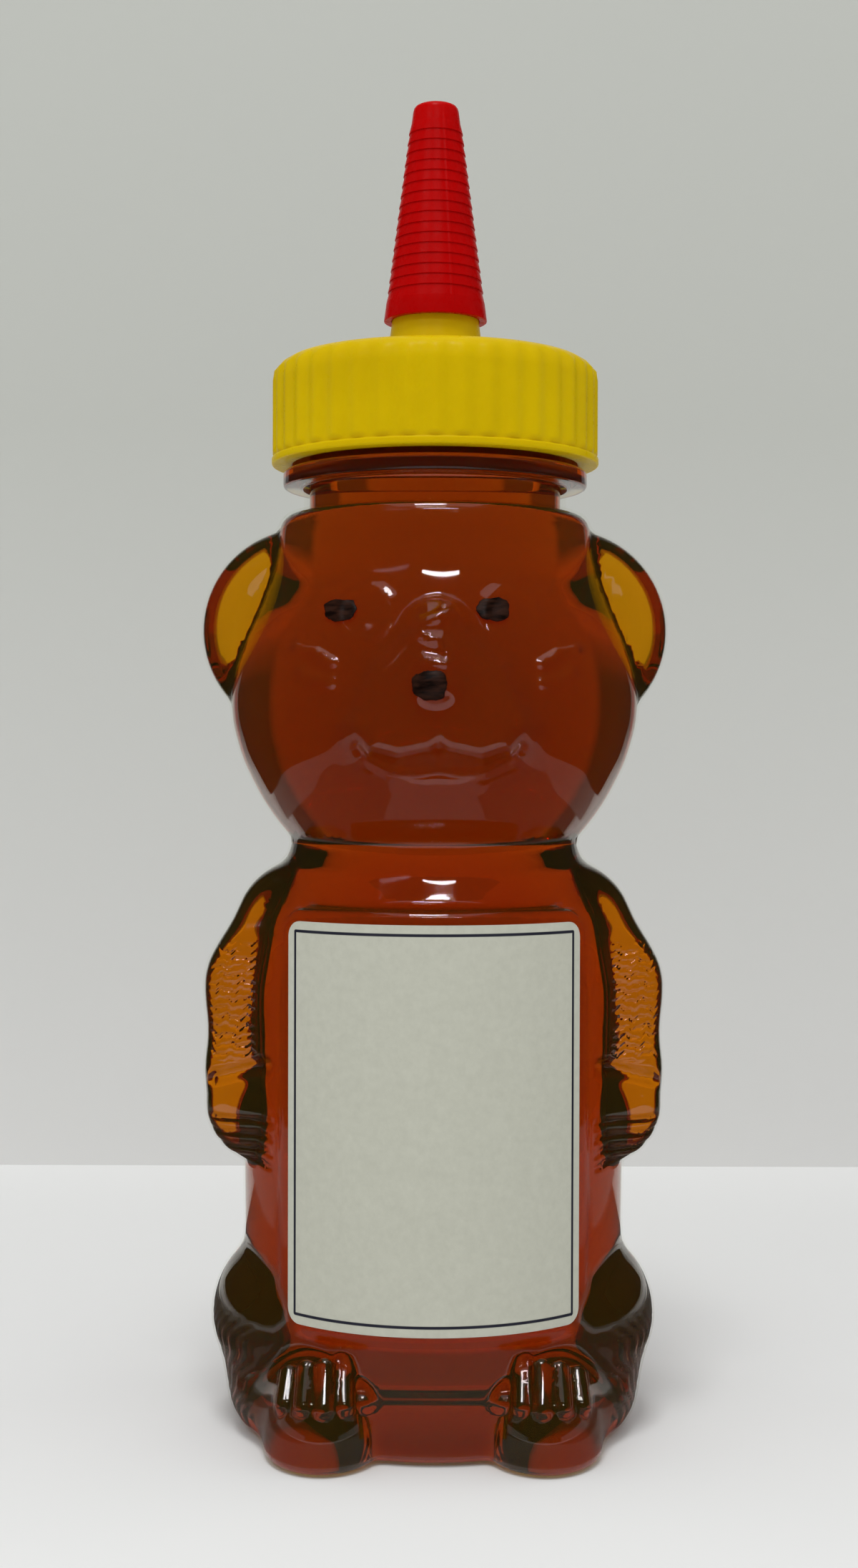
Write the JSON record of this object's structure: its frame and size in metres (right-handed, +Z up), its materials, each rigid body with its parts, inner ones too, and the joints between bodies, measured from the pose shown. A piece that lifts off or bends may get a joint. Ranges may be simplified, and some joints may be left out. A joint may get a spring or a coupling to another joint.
{
  "type": "honey bear bottle",
  "caption": "Clear squeeze bottle in the shape of a sitting bear, full of honey, with a paper label, a screw-on spout cap and a pull-off ribbed tip.",
  "frame": {"origin": "on the surface that the bottle stands on, under the axis of the bottle's neck", "axes": "+Z up along the neck's axis, the bear's face looks along -Y, +X is to the viewer's right"},
  "size_m": [0.0632, 0.0589, 0.1763],
  "materials": {
    "clear_plastic": "clear blown plastic",
    "honey": "clear amber honey",
    "label_paper": "matt white paper with a thin dark printed border",
    "paint": "dark brush-marked paint",
    "foam": "white foam",
    "cap_plastic": "soft yellow moulded plastic",
    "tip_plastic": "soft red moulded plastic"
  },
  "bodies": {
    "bottle": {"bottle": "clear_plastic", "honey_fill": "honey", "front_label": "label_paper", "eye_left": "paint", "eye_right": "paint", "nose": "paint"},
    "liner": {"liner_ring": "foam"},
    "cap": {"spout_cap": "cap_plastic"},
    "tip": {"tip_cap": "tip_plastic"}
  },
  "joints": [
    {"name": "liner_lift", "type": "slide", "parent": "bottle", "child": "liner", "axis": [0, 0, 1], "range_m": [0, 0.01693]},
    {"name": "cap_turn", "type": "hinge", "parent": "liner", "child": "cap", "pos_m": [0, 0, 0.1277], "axis": [0, 0, 1], "range_deg": [0, 1440]},
    {"name": "tip_pull", "type": "slide", "parent": "cap", "child": "tip", "axis": [0, 0, 1], "range_m": [0, 0.026]}
  ],
  "couplings": [
    {"joint": "liner_lift", "follows": "cap_turn", "m_per_rad": 0.00067323}
  ]
}
